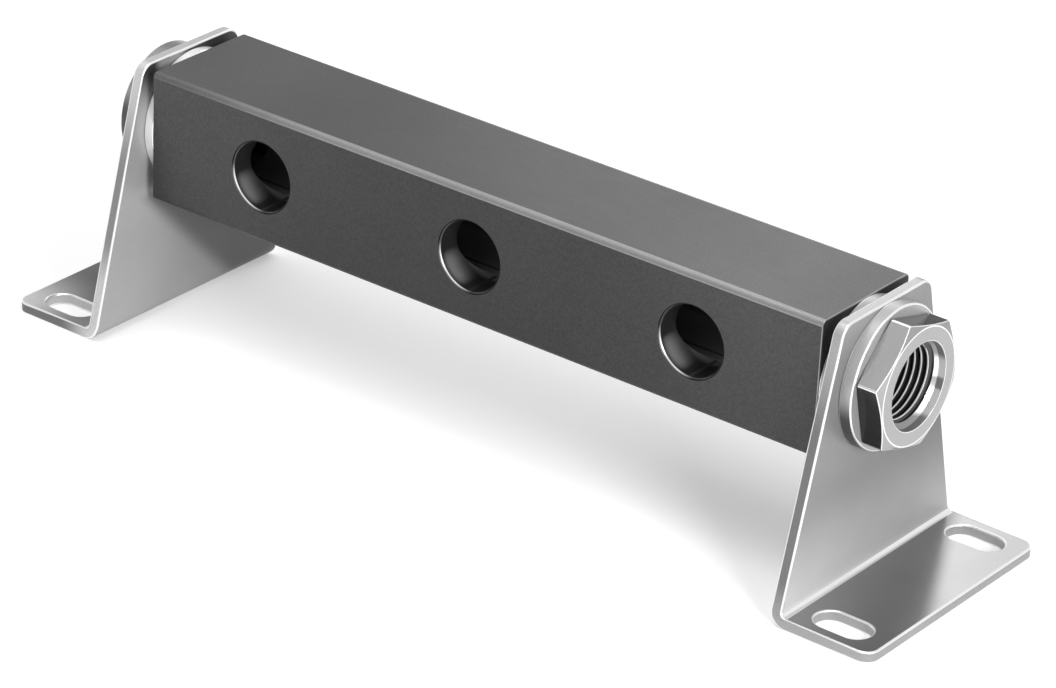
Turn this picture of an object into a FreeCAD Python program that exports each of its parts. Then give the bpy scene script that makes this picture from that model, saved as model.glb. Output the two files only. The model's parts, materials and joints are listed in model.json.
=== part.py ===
import FreeCAD, Part
import math
import os
import re

import Sketcher
from FreeCAD import Placement, Rotation, Vector

# Valve manifold rail: a square air rail between two folded brackets. A hollow hexagon fitting
# screws through the right-hand bracket into the rail, and a blanking plug through the left.
# Millimetres. The feet stand on z = 0, the rail runs along X, and the origin is midway
# between the feet.

# Name, size in millimetres (or a count, or degrees), and what it measures
DRIVING_SIZES = [
    ("end_wall", 4.28, "wall that the threaded end bores leave at the middle of a rail face"),
    ("rail_edge_radius", 1.4, "rounding of the rail's long edges"),
    ("rail_end_chamfer", 0.3, "edge break round each end face of the rail"),
    ("rail_end_margin", 36, "end face of the rail to the nearest cross hole"),
    ("gallery_diameter", 22, "air gallery along the rail"),
    ("cross_hole_count", 3, "cross holes for hollow screws"),
    ("cross_hole_pitch", 66, "cross hole to cross hole"),
    ("cross_hole_diameter", 18.2, "cross hole, clear for an 18 mm hollow screw"),
    ("cross_hole_chamfer", 0.5, "edge break at each mouth of a cross hole"),
    ("axis_height", 53, "rail axis above the mounting surface"),
    ("sheet_thickness", 3, "folded sheet of the brackets"),
    ("bend_radius", 1.5, "inside radius of the fold"),
    ("upright_top_width", 35, "upright at its top edge"),
    ("upright_top_margin", 4.8, "sheet left between the shank's hole and the top edge"),
    ("top_corner_radius", 4, "corners at the top of the upright"),
    ("foot_width", 70, "foot across the rail"),
    ("foot_corner_radius", 3.5, "corners at the end of the foot"),
    ("slot_width", 8.5, "slot in the foot, clear for an 8 mm screw"),
    ("slot_length", 15, "slot, end to end"),
    ("slot_setback", 5, "near end of a slot from the upright's outer face"),
    ("slot_end_margin", 5, "sheet left between a slot and the end of the foot"),
    ("slot_side_margin", 3.25, "sheet left between a slot and the side of the foot"),
    ("shank_diameter", 26.44, "male pipe thread of the end fittings, over its crests"),
    ("shank_engagement", 12, "length of the shank inside the rail"),
    ("shank_chamfer", 1.3, "chamfer at the shank's tip"),
    ("thread_clearance", 0.1, "gap all round between the shank and its threaded bore"),
    ("thread_runout", 4, "threaded bore left beyond the shank's tip"),
    ("end_bore_chamfer", 0.7, "lead-in of the threaded bore in the rail's end"),
    ("slip_clearance", 0.3, "gap all round between the shank and what slips over it"),
    ("inner_ring_thickness", 3, "ring between rail and bracket, along the axis"),
    ("outer_ring_diameter", 36, "ring between bracket and hexagon"),
    ("outer_ring_thickness", 3.5, "ring between bracket and hexagon, along the axis"),
    ("ring_edge_chamfer", 0.4, "chamfer of the rings' outer edges"),
    ("hex_shoulder", 1.78, "how far the hexagon's flats stand out past the shank"),
    ("hex_height", 6.5, "hexagon along the axis"),
    ("hex_turn", 15, "degrees from straight up to a hexagon corner"),
    ("hex_land_inset", 0.8, "how much smaller than the flats the chamfer leaves the faces"),
    ("hex_front_drop", 1, "depth of the front chamfer at the hexagon's corners"),
    ("hex_back_drop", 0.5, "depth of the back chamfer at the hexagon's corners"),
    ("port_crest_diameter", 18.631, "crests of the internal pipe thread"),
    ("port_thread_depth", 15, "floor of the internal thread from the hexagon's face"),
    ("port_mouth_diameter", 22, "smooth mouth of the port"),
    ("port_mouth_depth", 2, "smooth mouth, along the axis"),
    ("passage_diameter", 16, "air passage through the shank"),
    ("plug_head_diameter", 33.3, "round head of the blanking plug"),
    ("plug_head_thickness", 6, "round head, along the axis"),
    ("plug_head_chamfer", 0.5, "edge break of the round head"),
    ("socket_across_flats", 12, "hexagon socket in the round head"),
    ("socket_depth", 9, "hexagon socket, along the axis"),
]
ALIASES = {name for name, _, _ in DRIVING_SIZES}

# Sizes that follow from the driving ones, as expressions
RAIL_END = "(cross_hole_pitch * (cross_hole_count - 1) / 2 + rail_end_margin)"
RAIL_WIDTH = "(shank_diameter + 2 * end_wall)"
SHANK_RADIUS = "(shank_diameter / 2)"
END_BORE_RADIUS = "(shank_diameter / 2 + thread_clearance)"
SLIP_BORE_RADIUS = "(shank_diameter / 2 + slip_clearance)"
UPRIGHT_TOP = f"(axis_height + {SLIP_BORE_RADIUS} + upright_top_margin)"
FOOT_END = "(sheet_thickness + slot_setback + slot_length + slot_end_margin)"
SLOT_MIDDLE = "(sheet_thickness + slot_setback + slot_length / 2)"
SLOT_OFFSET = "(foot_width / 2 - slot_side_margin - slot_width / 2)"
HEX_ACROSS_FLATS = "(shank_diameter + 2 * hex_shoulder)"
HEX_CORNER_RADIUS = f"({HEX_ACROSS_FLATS} / (2 * cos(30 deg)))"
HEX_LAND_RADIUS = f"(({HEX_ACROSS_FLATS} - hex_land_inset) / 2)"
SOCKET_CORNER_RADIUS = "(socket_across_flats / (2 * cos(30 deg)))"
BRACKET_FACE = f"({RAIL_END} + inner_ring_thickness)"
BRACKET_BACK = f"({BRACKET_FACE} + sheet_thickness)"
HEX_SEAT = f"({BRACKET_BACK} + outer_ring_thickness)"
SHANK_TIP = f"({RAIL_END} - shank_engagement)"

document = FreeCAD.newDocument("manifold_rail")


def make_sheet():
    """The sheet of driving sizes. Its aliases are the names used in every expression."""
    sheet = document.addObject("Spreadsheet::Sheet", "Sizes")
    for row, (name, size, note) in enumerate(DRIVING_SIZES, start=1):
        sheet.set(f"A{row}", name)
        sheet.set(f"B{row}", str(size))
        sheet.set(f"C{row}", note)
        sheet.setAlias(f"B{row}", name)
    document.recompute()


def named(expression):
    """An expression in the sheet's aliases, with the sheet's name put before each."""
    return re.sub(
        "[a-z_]+",
        lambda word: f"Sizes.{word[0]}" if word[0] in ALIASES else word[0],
        expression,
    )


def bind(item, field, expression):
    """Ties one property, constraint or placement value to the sheet."""
    item.setExpression(field, named(expression))


def size_of(expression):
    """What an expression comes to now, as a number."""
    size = document.getObject("Sizes").evalExpression(named(expression))
    return float(getattr(size, "Value", size))


def add_body(label):
    body = document.addObject("PartDesign::Body", label)
    body.Label = label
    return body


def origin_feature(body, role):
    return next(item for item in body.Origin.OriginFeatures if item.Role == role)


def add_sketch(body, plane, name):
    """A sketch on one of the body's own planes: XY (normal +Z), XZ (-Y) or YZ (+X)."""
    sketch = body.newObject("Sketcher::SketchObject", f"{body.Name}_{name}")
    sketch.AttachmentSupport = [(origin_feature(body, plane), "")]
    sketch.MapMode = "FlatFace"
    document.recompute()
    return sketch


def fix_point(sketch, geometry, end, across, up):
    """Ties a point of a sketch to its two distances from the sketch's origin."""
    for kind, axis, expression in (("DistanceX", -2, across), ("DistanceY", -1, up)):
        if expression == "0":
            on_axis = Sketcher.Constraint("PointOnObject", geometry, end, axis)
            sketch.addConstraint(on_axis)
        else:
            distance = Sketcher.Constraint(kind, -1, 1, geometry, end, size_of(expression))
            number = sketch.addConstraint(distance)
            bind(sketch, f"Constraints[{number}]", expression)


def fix_radius(sketch, curve, expression):
    number = sketch.addConstraint(Sketcher.Constraint("Radius", curve, size_of(expression)))
    bind(sketch, f"Constraints[{number}]", expression)


def add_line(sketch, start, end):
    return sketch.addGeometry(Part.LineSegment(start, end), False)


def add_outline(sketch, corners):
    """A closed chain of straight lines through corners given as pairs of expressions."""
    points = [Vector(size_of(across), size_of(up), 0) for across, up in corners]
    lines = [
        add_line(sketch, start, end)
        for start, end in zip(points, points[1:] + points[:1])
    ]
    for line, following in zip(lines, lines[1:] + lines[:1]):
        sketch.addConstraint(Sketcher.Constraint("Coincident", line, 2, following, 1))
    for line, (across, up) in zip(lines, corners):
        fix_point(sketch, line, 1, across, up)
    document.recompute()


def add_circle(sketch, across, up, radius):
    centre = Vector(size_of(across), size_of(up), 0)
    outline = Part.Circle(centre, Vector(0, 0, 1), size_of(radius))
    circle = sketch.addGeometry(outline, False)
    fix_point(sketch, circle, 3, across, up)
    fix_radius(sketch, circle, radius)
    document.recompute()


def add_slot(sketch, across, up, length, width):
    """A round-ended slot along the sketch's X: two half circles and the lines between."""
    half_run = f"(({length} - {width}) / 2)"
    run = size_of(half_run)
    radius = size_of(width) / 2
    middle = Vector(size_of(across), size_of(up), 0)
    quarter_turn = math.pi / 2
    ends = []
    for side, start in ((-1, quarter_turn), (1, -quarter_turn)):
        round_end = Part.Circle(middle + Vector(side * run, 0, 0), Vector(0, 0, 1), radius)
        half = Part.ArcOfCircle(round_end, start, start + 2 * quarter_turn)
        ends.append(sketch.addGeometry(half, False))
    near, far = ends
    top, bottom = (
        add_line(sketch, middle + Vector(-run, rise, 0), middle + Vector(run, rise, 0))
        for rise in (radius, -radius)
    )
    for arc, arc_end, line, line_end in (
        (near, 1, top, 1), (near, 2, bottom, 1), (far, 1, bottom, 2), (far, 2, top, 2),
    ):
        sketch.addConstraint(Sketcher.Constraint("Tangent", arc, arc_end, line, line_end))
    sketch.addConstraint(Sketcher.Constraint("Equal", near, far))
    fix_point(sketch, near, 3, f"{across} - {half_run}", up)
    fix_point(sketch, far, 3, f"{across} + {half_run}", up)
    fix_radius(sketch, near, f"{width} / 2")
    document.recompute()


def add_feature(body, kind, name, profile=None):
    feature = body.newObject(f"PartDesign::{kind}", f"{body.Name}_{name}")
    if profile is not None:
        feature.Profile = profile
        profile.Visibility = False
    return feature


def pad(body, sketch, name, length, sides="One side"):
    feature = add_feature(body, "Pad", name, sketch)
    feature.SideType = sides
    bind(feature, "Length", length)
    document.recompute()
    return feature


def add_hexagon(sketch, corner_radius, turn):
    """A hexagon whose first corner is turned from straight up towards the sketch's -X."""
    turns = [f"({turn} * 1 deg + {60 * corner} deg)" for corner in range(6)]
    add_outline(sketch, [
        (f"-{corner_radius} * sin{angle}", f"{corner_radius} * cos{angle}") for angle in turns
    ])


def cut_through(body, sketch, name):
    """Cuts a sketch through the whole body, to both sides of the sketch's plane."""
    before = body.Shape.Volume
    pocket = add_feature(body, "Pocket", name, sketch)
    pocket.SideType = "Symmetric"
    pocket.Type = "ThroughAll"
    document.recompute()
    assert body.Shape.Volume < before, f"{pocket.Name} cuts nothing"
    return pocket


def spin(body, kind, sketch, name, axis="H_Axis"):
    """Revolves a sketch a full turn round one of its own axes: a Revolution or a Groove."""
    before = 0 if body.Shape.isNull() else body.Shape.Volume
    turned = add_feature(body, kind, name, sketch)
    turned.ReferenceAxis = (sketch, [axis])
    turned.Angle = 360
    document.recompute()
    assert body.Shape.Volume != before, f"{turned.Name} changes nothing"
    return turned


def mirror(body, feature, name, plane):
    mirrored = add_feature(body, "Mirrored", name)
    mirrored.Originals = [feature]
    mirrored.MirrorPlane = (origin_feature(body, plane), [""])
    body.Tip = mirrored
    document.recompute()
    return mirrored


def equal(length, expression):
    return abs(length - size_of(expression)) < 1e-4


def edges_where(feature, test):
    """The names of a feature's edges whose ends and middle all pass a test."""
    names = []
    for number, edge in enumerate(feature.Shape.Edges, start=1):
        middle = edge.valueAt((edge.FirstParameter + edge.LastParameter) / 2)
        points = [vertex.Point for vertex in edge.Vertexes] + [middle]
        if all(test(point) for point in points):
            names.append(f"Edge{number}")
    assert names, f"no such edge on {feature.Name}"
    return names


def dress_edges(body, kind, feature, name, size, test):
    """A Fillet or a Chamfer of one size on every edge that passes a test."""
    dressed = add_feature(body, kind, name)
    dressed.Base = (feature, edges_where(feature, test))
    bind(dressed, "Radius" if kind == "Fillet" else "Size", size)
    document.recompute()
    return dressed


def make_rail():
    """The square bar with its gallery, its two threaded ends and its cross holes."""
    body = add_body("manifold_rail")
    section = add_sketch(body, "YZ_Plane", "section")
    low, high = f"-{RAIL_WIDTH} / 2", f"{RAIL_WIDTH} / 2"
    add_outline(section, [(low, low), (high, low), (high, high), (low, high)])
    bar = pad(body, section, "bar", f"2 * {RAIL_END}", "Symmetric")
    rounded = dress_edges(
        body, "Fillet", bar, "long_edges", "rail_edge_radius",
        lambda point: equal(abs(point.y), high) and equal(abs(point.z), high),
    )
    dress_edges(
        body, "Chamfer", rounded, "end_edges", "rail_end_chamfer",
        lambda point: equal(abs(point.x), RAIL_END),
    )

    gallery = add_sketch(body, "YZ_Plane", "gallery_circle")
    add_circle(gallery, "0", "0", "gallery_diameter / 2")
    cut_through(body, gallery, "gallery")

    # The threaded end bore is cut to the shank's crests, and takes the shank and a runout
    bore_floor = f"{RAIL_END} - shank_engagement - thread_runout"
    profile = add_sketch(body, "XZ_Plane", "end_bore_profile")
    add_outline(profile, [
        (bore_floor, "0"),
        (RAIL_END, "0"),
        (RAIL_END, f"{END_BORE_RADIUS} + end_bore_chamfer"),
        (f"{RAIL_END} - end_bore_chamfer", END_BORE_RADIUS),
        (bore_floor, END_BORE_RADIUS),
    ])
    end_bore = spin(body, "Groove", profile, "end_bore")
    mirror(body, end_bore, "other_end_bore", "YZ_Plane")

    # The first cross hole is turned about its own axis, with an edge break at each mouth
    hole_radius = "cross_hole_diameter / 2"
    mouth_radius = f"{hole_radius} + cross_hole_chamfer"
    profile = add_sketch(body, "XY_Plane", "cross_hole_profile")
    bind(profile, "AttachmentOffset.Base.x", f"rail_end_margin - {RAIL_END}")
    add_outline(profile, [
        ("0", low),
        (mouth_radius, low),
        (hole_radius, f"{low} + cross_hole_chamfer"),
        (hole_radius, f"{high} - cross_hole_chamfer"),
        (mouth_radius, high),
        ("0", high),
    ])
    first_hole = spin(body, "Groove", profile, "first_cross_hole", "V_Axis")
    row = add_feature(body, "LinearPattern", "cross_holes")
    row.Originals = [first_hole]
    row.Direction = (origin_feature(body, "X_Axis"), [""])
    row.Mode = "Spacing"
    bind(row, "Offset", "cross_hole_pitch")
    bind(row, "Occurrences", "cross_hole_count")
    body.Tip = row
    bind(body, "Placement.Base.z", "axis_height")
    return body


def make_bracket(label):
    """One folded sheet. Its own x = 0 is the upright's rail-side face, z = 0 the floor."""
    body = add_body(label)
    fold = add_sketch(body, "XZ_Plane", "fold_section")
    add_outline(fold, [
        ("0", "0"),
        (FOOT_END, "0"),
        (FOOT_END, "sheet_thickness"),
        ("sheet_thickness", "sheet_thickness"),
        ("sheet_thickness", UPRIGHT_TOP),
        ("0", UPRIGHT_TOP),
    ])
    angle = pad(body, fold, "angle", "foot_width", "Symmetric")
    inside = dress_edges(
        body, "Fillet", angle, "inside_bend", "bend_radius",
        lambda point: equal(point.x, "sheet_thickness") and equal(point.z, "sheet_thickness"),
    )
    outside = dress_edges(
        body, "Fillet", inside, "outside_bend", "bend_radius + sheet_thickness",
        lambda point: equal(point.x, "0") and equal(point.z, "0"),
    )
    dress_edges(
        body, "Fillet", outside, "foot_corners", "foot_corner_radius",
        lambda point: equal(point.x, FOOT_END) and equal(abs(point.y), "foot_width / 2"),
    )

    # The upright narrows from the full width at the foot to its top edge
    taper = add_sketch(body, "YZ_Plane", "taper_triangle")
    add_outline(taper, [
        ("foot_width / 2", "sheet_thickness"),
        ("foot_width / 2", UPRIGHT_TOP),
        ("upright_top_width / 2", UPRIGHT_TOP),
    ])
    one_taper = cut_through(body, taper, "taper")
    both_tapers = mirror(body, one_taper, "other_taper", "XZ_Plane")
    dress_edges(
        body, "Fillet", both_tapers, "top_corners", "top_corner_radius",
        lambda point: equal(point.z, UPRIGHT_TOP)
        and equal(abs(point.y), "upright_top_width / 2"),
    )

    hole = add_sketch(body, "YZ_Plane", "shank_hole_circle")
    add_circle(hole, "0", "axis_height", SLIP_BORE_RADIUS)
    cut_through(body, hole, "shank_hole")

    slot = add_sketch(body, "XY_Plane", "slot_outline")
    add_slot(slot, SLOT_MIDDLE, SLOT_OFFSET, "slot_length", "slot_width")
    one_slot = cut_through(body, slot, "slot")
    mirror(body, one_slot, "other_slot", "XZ_Plane")
    return body


def make_ring(label, diameter, thickness):
    """A turned ring with chamfered outer edges. Its own x = 0 is its rail-side face."""
    body = add_body(label)
    rim = f"{diameter} / 2"
    section = add_sketch(body, "XZ_Plane", "section")
    add_outline(section, [
        ("0", SLIP_BORE_RADIUS),
        (thickness, SLIP_BORE_RADIUS),
        (thickness, rim),
        ("0", rim),
    ])
    ring = spin(body, "Revolution", section, "ring")
    dress_edges(
        body, "Chamfer", ring, "rim_edges", "ring_edge_chamfer",
        lambda point: equal(math.hypot(point.y, point.z), rim),
    )
    return body


def add_shank(body, seat_place):
    """The threaded shank, from the head's seat through the sheet into the rail's end."""
    tip = f"{SHANK_TIP} - {seat_place}"
    shank = add_sketch(body, "XZ_Plane", "shank_profile")
    add_outline(shank, [
        (tip, "0"),
        (tip, f"{SHANK_RADIUS} - shank_chamfer"),
        (f"{tip} + shank_chamfer", SHANK_RADIUS),
        ("0", SHANK_RADIUS),
        ("0", "0"),
    ])
    spin(body, "Revolution", shank, "shank")


def make_fitting(label):
    """The hollow hexagon fitting. Its own x = 0 is the hexagon's seat, +X its open face."""
    body = add_body(label)
    hexagon = add_sketch(body, "YZ_Plane", "hexagon")
    add_hexagon(hexagon, HEX_CORNER_RADIUS, "hex_turn")
    pad(body, hexagon, "head", "hex_height")

    # Each chamfer is a cone through the land and the corners. The triangle that cuts it
    # runs on as far again past the corners.
    past_corners = f"2 * {HEX_CORNER_RADIUS} - {HEX_LAND_RADIUS}"
    for name, face, drop in (
        ("front_chamfer", "hex_height", "-hex_front_drop"),
        ("back_chamfer", "0", "hex_back_drop"),
    ):
        triangle = add_sketch(body, "XZ_Plane", f"{name}_triangle")
        add_outline(triangle, [
            (face, HEX_LAND_RADIUS),
            (face, past_corners),
            (f"{face} + 2 * {drop}", past_corners),
        ])
        spin(body, "Groove", triangle, name)

    add_shank(body, HEX_SEAT)

    # Smooth mouth, lead-in at 45 degrees, threaded port and air passage, as one profile
    mouth = "port_mouth_diameter / 2"
    crest = "port_crest_diameter / 2"
    passage = "passage_diameter / 2"
    lead_in = "hex_height - port_mouth_depth"
    port_floor = "hex_height - port_thread_depth"
    tip = f"{SHANK_TIP} - {HEX_SEAT}"
    port = add_sketch(body, "XZ_Plane", "port_profile")
    add_outline(port, [
        (tip, "0"),
        ("hex_height", "0"),
        ("hex_height", mouth),
        (lead_in, mouth),
        (f"{lead_in} - ({mouth} - {crest})", crest),
        (port_floor, crest),
        (f"{port_floor} - ({crest} - {passage})", passage),
        (tip, passage),
    ])
    spin(body, "Groove", port, "port")
    return body


def make_plug(label):
    """The blanking plug: a round head with a hexagon socket, on the same threaded shank.

    Its own x = 0 is the head's seat, +X its outer face.
    """
    body = add_body(label)
    disc = add_sketch(body, "YZ_Plane", "head_circle")
    add_circle(disc, "0", "0", "plug_head_diameter / 2")
    head = pad(body, disc, "head", "plug_head_thickness")
    dress_edges(
        body, "Chamfer", head, "head_edges", "plug_head_chamfer",
        lambda point: equal(point.x, "plug_head_thickness"),
    )
    add_shank(body, BRACKET_BACK)
    socket = add_sketch(body, "YZ_Plane", "socket_hexagon")
    bind(socket, "AttachmentOffset.Base.z", "plug_head_thickness")
    add_hexagon(socket, SOCKET_CORNER_RADIUS, "0")
    before = body.Shape.Volume
    pocket = add_feature(body, "Pocket", "socket", socket)
    bind(pocket, "Length", "socket_depth")
    document.recompute()
    assert body.Shape.Volume < before, f"{pocket.Name} cuts nothing"
    return body


def seat(body, distance, height, side):
    """Sets a right-hand piece at its distance along X, or turned round at the left end."""
    turn = Rotation(Vector(0, 0, 1), 0 if side > 0 else 180)
    body.Placement = Placement(Vector(0, 0, 0), turn)
    bind(body, "Placement.Base.x", f"{side} * {distance}")
    bind(body, "Placement.Base.z", height)


def make_end(side, word):
    """The inner ring and the bracket of one end of the rail."""
    inner_ring = make_ring(f"inner_ring_{word}", RAIL_WIDTH, "inner_ring_thickness")
    seat(inner_ring, RAIL_END, "axis_height", side)
    bracket = make_bracket(f"bracket_{word}")
    seat(bracket, BRACKET_FACE, "0", side)
    return [inner_ring, bracket]


def make_port_end():
    """What screws into the right-hand end: the outer ring and the hollow fitting."""
    outer_ring = make_ring("outer_ring_right", "outer_ring_diameter", "outer_ring_thickness")
    seat(outer_ring, BRACKET_BACK, "axis_height", 1)
    fitting = make_fitting("end_fitting_right")
    seat(fitting, HEX_SEAT, "axis_height", 1)
    return [outer_ring, fitting]


def make_blank_end():
    """What screws into the left-hand end: the blanking plug, with its head on the bracket."""
    plug = make_plug("end_fitting_left")
    seat(plug, BRACKET_BACK, "axis_height", -1)
    return [plug]


def check(bodies):
    document.recompute()
    for item in document.Objects:
        faults = {"Invalid", "Error"} & set(item.State)
        assert not faults, f"{item.Name} is {faults}"
    for body in bodies:
        shape = body.Shape
        assert not shape.isNull() and shape.isValid(), f"{body.Label} has no valid shape"
        assert len(shape.Solids) == 1, f"{body.Label} has {len(shape.Solids)} solids"


def write(bodies):
    os.makedirs("parts", exist_ok=True)
    for body in bodies:
        body.Shape.exportStep(f"parts/{body.Label}.step")


make_sheet()
pieces = [make_rail()]
for end_side, end_word in ((1, "right"), (-1, "left")):
    pieces += make_end(end_side, end_word)
pieces += make_port_end() + make_blank_end()
check(pieces)
write(pieces)
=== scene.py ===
import json
import math

import bmesh
import bpy
from mathutils import Matrix, Vector


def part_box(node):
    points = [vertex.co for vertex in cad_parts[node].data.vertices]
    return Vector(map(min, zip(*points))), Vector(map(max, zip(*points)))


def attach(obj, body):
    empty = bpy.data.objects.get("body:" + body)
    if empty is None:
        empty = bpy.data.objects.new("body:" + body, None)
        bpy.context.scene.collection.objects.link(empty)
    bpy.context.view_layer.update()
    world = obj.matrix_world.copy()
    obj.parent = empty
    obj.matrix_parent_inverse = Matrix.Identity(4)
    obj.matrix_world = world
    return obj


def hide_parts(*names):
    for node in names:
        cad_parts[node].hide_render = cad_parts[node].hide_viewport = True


# The looks of a valve manifold rail: an anodised square rail, two folded zinc-plated
# brackets, three turned rings, a nickel-plated hexagon fitting with a threaded port at the
# right-hand end and a blanking plug at the left.
# Metres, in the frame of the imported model.

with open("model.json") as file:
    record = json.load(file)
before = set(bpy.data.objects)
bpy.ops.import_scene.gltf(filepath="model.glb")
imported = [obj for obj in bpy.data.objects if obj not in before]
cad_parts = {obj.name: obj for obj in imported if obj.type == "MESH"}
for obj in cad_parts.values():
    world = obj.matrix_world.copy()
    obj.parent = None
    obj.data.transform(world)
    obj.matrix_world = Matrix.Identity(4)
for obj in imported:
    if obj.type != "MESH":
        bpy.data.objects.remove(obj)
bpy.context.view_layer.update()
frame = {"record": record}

MM = 0.001

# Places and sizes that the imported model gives
rail_low, rail_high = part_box("manifold_rail")
RAIL_END = rail_high.x
RAIL_SIZE = rail_high - rail_low
RAIL_HALF_WIDTH = RAIL_SIZE.y / 2
AXIS_HEIGHT = (rail_low.z + rail_high.z) / 2
bracket_low, bracket_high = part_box("bracket_right")
BRACKET_FACE = bracket_low.x
FOOT_END = bracket_high.x
FOOT_HALF_WIDTH = bracket_high.y
UPRIGHT_TOP = bracket_high.z
outer_ring_low, outer_ring_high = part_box("outer_ring_right")
BRACKET_BACK = outer_ring_low.x
HEX_SEAT = outer_ring_high.x
OUTER_RING_RADIUS = outer_ring_high.y
INNER_RING_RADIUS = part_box("inner_ring_right")[1].y
fitting_low, fitting_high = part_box("end_fitting_right")
SHANK_TIP = fitting_low.x
HEX_FACE = fitting_high.x
plug_low, plug_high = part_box("end_fitting_left")
PLUG_FACE = -plug_low.x
PLUG_RADIUS = plug_high.y
mounts = {mount["name"]: mount for mount in frame["record"]["mounts"]}
CROSS_HOLE_PLACES = [mounts[f"cross_hole_{number}"]["pos_m"][0] for number in (1, 2, 3)]
CROSS_HOLE_RADIUS = mounts["cross_hole_1"]["dims"]["r_mm"] * MM
CREST_RADIUS = mounts["port_right"]["dims"]["r_mm"] * MM
slots = mounts["foot_slots"]["dims"]
SLOT_X = slots["spacing_x_mm"] / 2 * MM
SLOT_Y = slots["spacing_y_mm"] / 2 * MM
SLOT_RADIUS = slots["hole_r_mm"] * MM
SLOT_HALF_RUN = slots["slot_length_mm"] / 2 * MM - SLOT_RADIUS

# Sizes of the pieces themselves
RAIL_EDGE_RADIUS = 1.4 * MM
RAIL_END_EDGE = 0.3 * MM
GALLERY_RADIUS = 11 * MM
END_BORE_RADIUS = 13.32 * MM
END_BORE_DEPTH = 16 * MM
END_BORE_CHAMFER = 0.7 * MM
CROSS_HOLE_CHAMFER = 0.5 * MM
SHEET = 3 * MM
BEND_RADIUS = 1.5 * MM
UPRIGHT_TOP_HALF_WIDTH = 17.5 * MM
TOP_CORNER_RADIUS = 4 * MM
FOOT_CORNER_RADIUS = 3.5 * MM
SHEET_EDGE = 0.45 * MM
SLIP_BORE_RADIUS = 13.52 * MM
RING_EDGE = 0.4 * MM
SHANK_RADIUS = 13.22 * MM
SHANK_CHAMFER = 1.3 * MM
HEX_ACROSS_FLATS = 30 * MM
HEX_TURN = math.radians(15)
HEX_LAND_RADIUS = 14.6 * MM
HEX_FRONT_DROP = 1.0 * MM
HEX_BACK_DROP = 0.5 * MM
HEX_CORNER_EDGE = 0.4 * MM
HEX_EDGE = 0.18 * MM
PLUG_EDGE = 0.5 * MM
SOCKET_ACROSS_FLATS = 12 * MM
SOCKET_DEPTH = 9 * MM
SOCKET_EDGE = 0.3 * MM
MOUTH_RADIUS = 11 * MM
MOUTH_DEPTH = 2 * MM
PORT_THREAD_DEPTH = 15 * MM
PASSAGE_RADIUS = 8 * MM
THREAD_PITCH = 1.814 * MM
THREAD_ROOT_RADIUS = 10.478 * MM
THREAD_ROUNDING = 0.249 * MM
THREAD_FLANK_ANGLE = math.radians(27.5)
THREAD_EASE = 0.02 * MM
THREAD_RUN_OUT = 1.5 * MM
THREAD_LEAD = 0.2 * MM
GROOVE_START = 0.15 * MM

# How finely round shapes are divided
TURNED_STEPS = 192
CROSS_HOLE_STEPS = 128
SHANK_HOLE_STEPS = 96
SLOT_STEPS = 64
THREAD_STEPS = 96

# Half of the angle that one side of a hexagon takes up
HEX_HALF_SIDE = math.pi / 6
# Edges that turn by more than these are rims, or stay sharp in the shading
RIM_ANGLE = math.radians(60)
SHEET_RIM_ANGLE = math.radians(40)
SHADING_ANGLE = math.radians(32)
# How far a cutter goes past the face that it opens
REACH = 1 * MM
# Rims further apart than this are told apart by their distance from the axis
RIM_SPACING = 1 * MM
# Corners closer than this are welded before small edges are rounded
WELD = 0.02 * MM
SMALL = 1e-6
# The part of a face's normal along an axis: for one that lies square to it or mostly so, the
# most that a cross hole's lead-in has of Y, and the least that the foot of the fold has of Z
SQUARE = 0.999
MOSTLY = 0.5
LEAD_IN_MOST = 0.9
FOLD_FOOT_LEAST = 0.6
# The way from a cross hole's axis to its lower left: its shares of X and Z
LEFTWARD, DOWNWARD = -0.72, -0.69
# The way up the port's mouth, which leans back: its shares of Z and Y
MOUTH_RISE, MOUTH_BACK = 0.97, 0.25
# The right foot's painted shine moves on by one with each of these, along the rail and across it
FOOT_SHINE_LENGTH = 24 * MM
FOOT_SHINE_WIDTH = 49 * MM

# Places of the finishes in each piece's list. The first in it, 0, covers the rest
# EDGE is the rims' finish, lighter than the rest: a painted highlight along the edges
EDGE = 1
RAIL_BORE, RAIL_LEAD_IN, RAIL_HIGHLIGHT, RAIL_SHADED_END = 1, 2, 3, 4
SHEARED, UPRIGHT = 2, 3
GROOVE, CREST, MOUTH = 2, 3, 4

WHITE = (1, 1, 1, 1)
BLACK = (0, 0, 0, 1)


def near(length, size):
    """Whether a length is a given size, but for rounding."""
    return abs(length - size) < SMALL


def edges_where(bm, test):
    """The edges whose ends both pass a test."""
    return [edge for edge in bm.edges if all(test(vert.co) for vert in edge.verts)]


def of_length(edges, length):
    return [edge for edge in edges if near(edge.calc_length(), length)]


def sharp_edges(bm, least_angle, test):
    """Edges that turn by more than this angle and whose ends pass a test."""
    return [
        edge
        for edge in edges_where(bm, test)
        if edge.is_manifold and edge.calc_face_angle() > least_angle
    ]


def from_axis(point):
    """Distance of a point from the rail's axis."""
    return math.hypot(point.y, point.z - AXIS_HEIGHT)


def rounded(bm, edges, width, segments):
    """Rounds the edges and returns the new faces."""
    made = bmesh.ops.bevel(
        bm, geom=edges, offset=width, offset_type="OFFSET", affect="EDGES",
        segments=segments, profile=0.5, material=-1, clamp_overlap=False,
    )
    return made["faces"]


def rounded_rims(bm, rims, width, segments):
    """Rounds the edges and gives them the finish of a rim, a lighter one that paints a highlight.
    """
    for face in rounded(bm, rims, width, segments):
        face.material_index = EDGE


def mesh_of(bm, name):
    mesh = bpy.data.meshes.new(name)
    bm.normal_update()
    bm.to_mesh(mesh)
    bm.free()
    return mesh


def bmesh_of(mesh):
    bm = bmesh.new()
    bm.from_mesh(mesh)
    bpy.data.meshes.remove(mesh)
    return bm


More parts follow.
